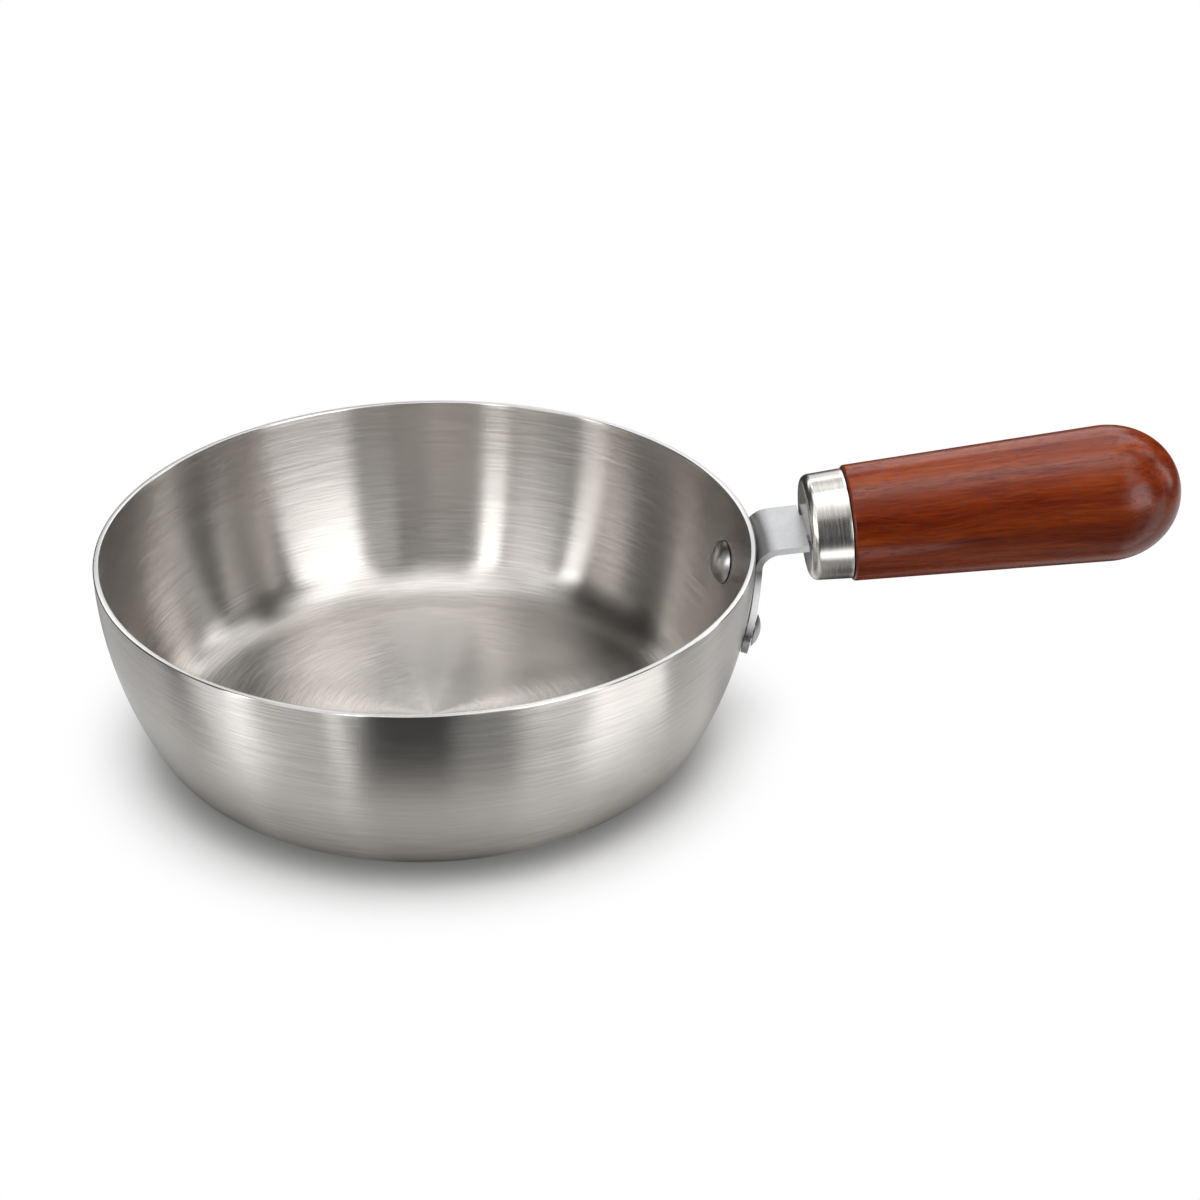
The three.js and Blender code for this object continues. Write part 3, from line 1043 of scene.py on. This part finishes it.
@dataclass
class Ferrule:
    """Drawn steel cap with a rounded edge, a slight flare and a slot for the tang."""

    bracket: Bracket
    radius: float = 16.4 * MM
    mouth_flare: float = 0.6 * MM
    length: float = 12.7 * MM
    wall: float = 1.2 * MM
    edge: float = 2.6 * MM
    seat: float = 0.3 * MM
    lip: float = 0.25 * MM
    segments: int = 128
    face_steps: int = 5
    edge_steps: int = 12
    side_steps: int = 8
    lip_steps: int = 4

    def rings(self) -> tuple[Array, Array, Array]:
        """Rings of the cap, from the slot's outer edge over the outside and back to the slot.

        Returns:
            Radius and height of each ring, and how far it is round: 0 at the slot, 1 a circle.
        """
        centre = self.radius - self.edge
        mouth = self.radius + self.mouth_flare
        spread = np.linspace(0.0, 1.0, self.face_steps + 1)
        face = np.column_stack((np.full_like(spread, centre), np.zeros_like(spread)))
        back = face + (0.0, self.wall)
        low, high = (centre, self.edge), (mouth - self.lip, self.length - self.lip)
        outside = join(
            arc(low, self.edge, -math.pi / 2, 0.0, self.edge_steps)[1:],
            line((self.radius, self.edge), (mouth, self.length - self.lip), self.side_steps),
            arc(high, self.lip, 0.0, math.pi / 2, self.lip_steps),
            np.array([[mouth - self.wall, self.length]]),
            arc(low, self.edge - self.wall, 0.0, -math.pi / 2, self.side_steps)[:-1],
        )
        section = np.concatenate((face, outside, back))
        round_share = np.concatenate((spread, np.ones(len(outside)), spread[::-1]))
        return section[:, 0], section[:, 1], round_share

    def surface(self) -> Surface:
        """Closed cap.

        A point is the slot's outline, whose radius at angle a is
        1 / max(|cos a| / half height, |sin a| / half width), blended into the ring's circle by
        the ring's share. The grid closes on itself both ways.

        Returns:
            The ferrule's surface, in place.
        """
        radius, height, share = self.rings()
        cosine, sine = circle(self.segments).T
        half_height = self.bracket.thickness / 2 + self.seat
        half_width = self.bracket.tang_width / 2 + self.seat
        slot = 1 / np.maximum(np.abs(cosine) / half_height, np.abs(sine) / half_width)
        reach = slot[None] + (radius[:, None] - slot[None]) * share[:, None]
        level = np.broadcast_to(height[:, None], reach.shape)
        points = np.stack((reach * cosine, reach * sine, level), -1)
        index = np.arange(reach.size).reshape(reach.shape)
        place = self.bracket.line.to_part(points.reshape(-1, 3))
        return Surface(place, between(index, np.roll(index, -1, axis=0)))

    def build(self) -> list[Piece]:
        """Builds and dresses the ferrule."""
        finish = TurnedSteel(tilt=self.bracket.line.tilt)
        return [add_piece("ferrule_cap", self.surface(), finish, ["ferrule"], Sharpness.TURNED)]


@dataclass
class Grip:
    """Turned wood: a tenon in the ferrule, a straight taper, a round nose and its bores."""

    ferrule: Ferrule
    start_radius: float = 17.9 * MM
    nose_radius: float = 21.0 * MM
    length: float = 103.4 * MM
    nose: float = 24.0 * MM
    fullness: float = 0.72
    edge: float = 0.8 * MM
    nut_space: float = 6.877 * MM
    nut_end: float = 15.8 * MM
    bore: float = 2.8 * MM
    head_space: float = 4.4 * MM
    head_depth: float = 7.6 * MM
    mouth_edge: float = 0.4 * MM
    segments: int = 160
    edge_steps: int = 6
    taper_steps: int = 20
    nose_samples: int = 400
    nose_stride: int = 9

    def nose_curve(self, start: float) -> Array:
        """Nose, from the taper to the mouth of the screw's bore.

        It is a conic: (1 - t)^2 A + 2 w t (1 - t) B + t^2 C over the sum of the weights, from
        the end of the taper A to the tip C, pulled by B, where the taper's line meets the
        tip's plane.

        Args:
            start: place of the taper's foot along the handle.

        Returns:
            Radius and place of each point.
        """
        tip = start + self.length
        shoulder = tip - self.nose
        slope = (self.nose_radius - self.start_radius) / (shoulder - start)
        pull = np.array([self.nose_radius + slope * self.nose, tip])
        t = np.linspace(0.0, 1.0, self.nose_samples)[:, None]
        first, middle, last = (1 - t) ** 2, 2 * self.fullness * t * (1 - t), t**2
        curve = first * np.array([self.nose_radius, shoulder]) + middle * pull
        curve = (curve + last * np.array([0.0, tip])) / (first + middle + last)
        curve = curve[curve[:, 0] > self.head_space + self.mouth_edge]
        return np.concatenate((curve[:: self.nose_stride], curve[-1:]))

    def profile(self) -> Array:
        """Closed section: the tenon, the taper, the nose, and back through the bores.

        Returns:
            Radius and place of each point along the handle.
        """
        cap = self.ferrule
        tenon = cap.radius - cap.wall - cap.seat
        foot = cap.wall + cap.seat
        corner = cap.edge - cap.wall
        start = cap.length + cap.seat
        nose = self.nose_curve(start)
        rest = start + self.length - self.head_depth
        nut_floor = self.nut_end + cap.seat
        shoulder = self.start_radius - self.edge
        section = join(
            np.array([[self.nut_space, foot], [tenon - corner, foot], [tenon, foot + corner]]),
            np.array([[tenon, start], [shoulder, start]]),
            arc((shoulder, start + self.edge), self.edge, -math.pi / 2, 0.0, self.edge_steps),
            line((self.start_radius, start + self.edge), nose[0], self.taper_steps),
            nose,
            np.array([[self.head_space, nose[-1, 1] - self.mouth_edge], [self.head_space, rest]]),
            np.array([[self.bore, rest], [self.bore, nut_floor], [self.nut_space, nut_floor]]),
        )
        return np.concatenate((section, section[:1]))

    def build(self) -> list[Piece]:
        """Builds and dresses the grip.

        Returns:
            The grip alone.
        """
        made = lathe(self.profile(), self.segments)
        handle = self.ferrule.bracket.line
        surface = Surface(handle.to_part(made.points), made.quads, made.triangles)
        finish = OiledWood(handle.tilt)
        return [add_piece("wooden_grip", surface, finish, ["grip"], Sharpness.TURNED)]


@dataclass
class Fixing:
    """Screw, washer and slotted nut inside the grip, shown as the frame's own solids."""

    line: HandleLine
    nodes: tuple[str, ...] = ("tang_nut", "grip_screw", "screw_washer")

    def build(self) -> list[Piece]:
        """Dresses the three solids.

        Returns:
            The solids' own objects.
        """
        pieces = [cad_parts[node] for node in self.nodes]
        for piece in pieces:
            piece.data.materials.clear()
            piece.data.materials.append(FixingSteel(tilt=self.line.tilt).material())
        return pieces


@dataclass(frozen=True)
class SoftBox:
    """One soft light of the studio, as a patch of the world seen from the object.

    Angles are in degrees, and the azimuth is 0 on the camera's side and positive to its right.
    The light has a reach to both sides of it, goes from elevation low to high, and fades over
    soft at each edge. Mirrors show its strength, and dull surfaces get that times dull.
    """

    azimuth: float
    reach: float
    low: float
    high: float
    strength: float
    soft: float
    dull: float


def lights(dull: float, *rows: Sequence[float]) -> tuple[SoftBox, ...]:
    """Soft lights from rows of azimuth, reach, low, high, strength and soft, all equally dull."""
    return tuple(SoftBox(*row, dull=dull) for row in rows)


# Light overhead, mostly for the dull surfaces.
OVERHEAD = lights(4.2, (0.0, 180.0, 75.0, 90.0, 2.3, 5.0))
# Upright lights on the camera's side, which the far inside of the bowl mirrors as bands.
FRONT_BANDS = lights(
    0.3,
    (-59.5, 4.0, -6.0, 32.0, 6.0, 2.0),
    (-40.0, 10.0, -4.0, 34.0, 2.1, 4.0),
    (-22.5, 4.0, -2.0, 34.0, 5.2, 1.5),
    (46.0, 15.0, -4.0, 32.0, 5.4, 4.0),
) + lights(0.4, (22.0, 5.0, -4.0, 34.0, 0.9, 4.0))
# Lights above those, for the foot of the same bands and the bowl's round corner.
FRONT_HIGH = lights(
    0.6,
    (-59.5, 4.0, 36.0, 60.0, 2.6, 3.0),
    (-40.0, 12.0, 38.0, 60.0, 1.2, 4.0),
    (-22.5, 4.0, 37.0, 60.0, 2.6, 2.0),
    (-4.0, 14.0, 42.0, 62.0, 0.7, 5.0),
    (46.0, 15.0, 38.0, 60.0, 2.4, 4.0),
    (0.0, 128.0, 62.0, 75.0, 1.2, 5.0),
)
# Lights at the sides, which the bowl's inside mirrors at its left and right.
SIDES = lights(
    1.0,
    (-84.0, 12.0, -6.0, 34.0, 0.4, 5.0),
    (85.0, 18.0, 56.0, 72.0, 2.8, 5.0),
    (94.0, 8.0, -4.0, 34.0, 0.4, 5.0),
    (108.0, 5.0, -2.0, 28.0, 3.2, 2.5),
    (121.0, 6.0, 28.0, 54.0, 2.8, 2.5),
)
# Lights behind, which the bowl's floor, the arm and the top of the handle mirror.
BACK = lights(
    1.0,
    (152.0, 9.0, 40.0, 66.0, 3.0, 3.0),
    (172.0, 6.0, 44.0, 70.0, 2.8, 3.0),
    (173.0, 10.0, 6.0, 26.0, 1.4, 3.0),
    (180.0, 44.0, 28.0, 39.0, 2.6, 4.0),
    (197.0, 5.0, 44.0, 68.0, 2.6, 3.0),
)
# The bright table round the pan, which the outside of the bowl mirrors.
BELOW = lights(
    0.0,
    (-125.0, 30.0, -72.0, -18.0, 0.75, 8.0),
    (-72.0, 12.0, -72.0, -12.0, 1.7, 4.0),
    (-46.0, 13.0, -72.0, -14.0, 0.65, 4.0),
    (-29.5, 2.2, -70.0, -10.0, 1.6, 1.0),
    (24.0, 12.0, -72.0, -12.0, 0.25, 5.0),
    (47.0, 8.0, -72.0, -12.0, 0.65, 4.0),
    (75.0, 14.0, -72.0, -2.0, 1.8, 5.0),
    (125.0, 30.0, -72.0, -18.0, 0.8, 8.0),
)


@dataclass
class Studio:
    """Pale floor, soft lights all round, and the camera at the photograph's angle.

    The room is the level between the lights.
    """

    camera_place: Triple = (-0.01074, -0.72743, 0.4566)
    camera_pitch: float = math.radians(60.39)
    camera_turn: float = math.radians(-5.0)
    focal_length: float = 81.54
    sensor_width: float = 36.0
    floor_radius: float = 0.22
    floor_steps: int = 96
    room: float = 0.03
    boxes: tuple[SoftBox, ...] = OVERHEAD + FRONT_BANDS + FRONT_HIGH + SIDES + BACK + BELOW

    def build(self) -> None:
        """Builds the whole studio, with colours shown as they are written."""
        bpy.context.scene.view_settings.view_transform = "Standard"
        self.add_camera()
        self.add_floor()
        self.add_world()

    def add_camera(self) -> None:
        """Adds the camera and makes it the scene's."""
        lens = bpy.data.cameras.new("camera")
        lens.lens = self.focal_length
        lens.sensor_width = self.sensor_width
        camera = bpy.data.objects.new("camera", lens)
        camera.location = self.camera_place
        camera.rotation_euler = (self.camera_pitch, 0.0, self.camera_turn)
        bpy.context.scene.collection.objects.link(camera)
        bpy.context.scene.camera = camera

    def add_floor(self) -> None:
        """Adds the round table top that the pan stands on: a disc of even steps."""
        flat = self.floor_radius * circle(self.floor_steps)
        rim = np.column_stack((flat, np.zeros(self.floor_steps)))
        mesh = bpy.data.meshes.new("floor")
        mesh.from_pydata(rim.tolist(), [], [list(range(self.floor_steps))])
        mesh.materials.append(PaleFloor().material())
        floor = bpy.data.objects.new("floor", mesh)
        bpy.context.scene.collection.objects.link(floor)

    def add_world(self) -> None:
        """Adds the lights all round as patches of the world, with white behind for the camera."""
        world = bpy.data.worlds.new("studio")
        bpy.context.scene.world = world
        world.use_nodes = True
        graph = Graph(world.node_tree)
        toward = graph.node("ShaderNodeTexCoord", output="Generated")
        flat = graph.heading(toward)
        rise = graph.node("ShaderNodeSeparateXYZ", None, {0: toward}, "Z")
        seen = graph.node("ShaderNodeLightPath", output="Is Camera Ray")
        mirrored = seen.output("Is Glossy Ray")
        level: Number = self.room
        for box in self.boxes:
            shown = box.dull + mirrored * (1.0 - box.dull)
            level = level + self.patch(graph, flat, rise, box) * shown
        light = graph.node("ShaderNodeBackground", None, {"Color": WHITE, "Strength": level})
        white = graph.node("ShaderNodeBackground", None, {"Color": WHITE})
        graph.node("ShaderNodeOutputWorld", None, {"Surface": graph.blend(seen, light, white)})

    def patch(self, graph: Graph, flat: Wire, rise: Wire, box: SoftBox) -> Wire:
        """Brightness of one soft light.

        It is a smooth step in the cosine of the angle from the light's azimuth, times smooth
        steps at its lower and upper edge in the sine of the elevation.

        Args:
            graph: the world's graph.
            flat: level unit vector towards the point that is looked at.
            rise: sine of its elevation.
            box: the light.

        Returns:
            The brightness.
        """
        edge = box.soft
        shape = rise.fade(self.sine(box.low - edge), self.sine(box.low + edge))
        if box.high < ZENITH:
            shape = shape * rise.fade(self.sine(box.high + edge), self.sine(box.high - edge))
        if box.reach < HALF_TURN:
            turn = math.radians(box.azimuth) + self.camera_turn - math.pi / 2
            middle = (math.cos(turn), math.sin(turn), 0.0)
            aim = graph.vector("DOT_PRODUCT", flat, middle, output="Value")
            far = math.cos(math.radians(box.reach + edge))
            near = math.cos(math.radians(max(0.0, box.reach - edge)))
            shape = shape * aim.fade(far, near)
        return shape * box.strength

    @staticmethod
    def sine(degrees: float) -> float:
        """Sine of an elevation in degrees, kept within a quarter turn."""
        return math.sin(math.radians(max(-ZENITH, min(ZENITH, degrees))))


def main() -> None:
    """Builds the pan, its handle and the studio, and reports each piece."""
    logging.basicConfig(level=logging.INFO, format="%(message)s")
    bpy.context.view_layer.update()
    bowl = Bowl.from_frame()
    handle = HandleLine(bowl)
    bracket = Bracket(handle)
    ferrule = Ferrule(bracket)
    for assembly in (bowl, bracket, Rivets(bracket), ferrule, Grip(ferrule), Fixing(handle)):
        for piece in assembly.build():
            logging.info("%s: %d faces", piece.name, len(piece.data.polygons))
    Studio().build()


if __name__ == "__main__":
    main()
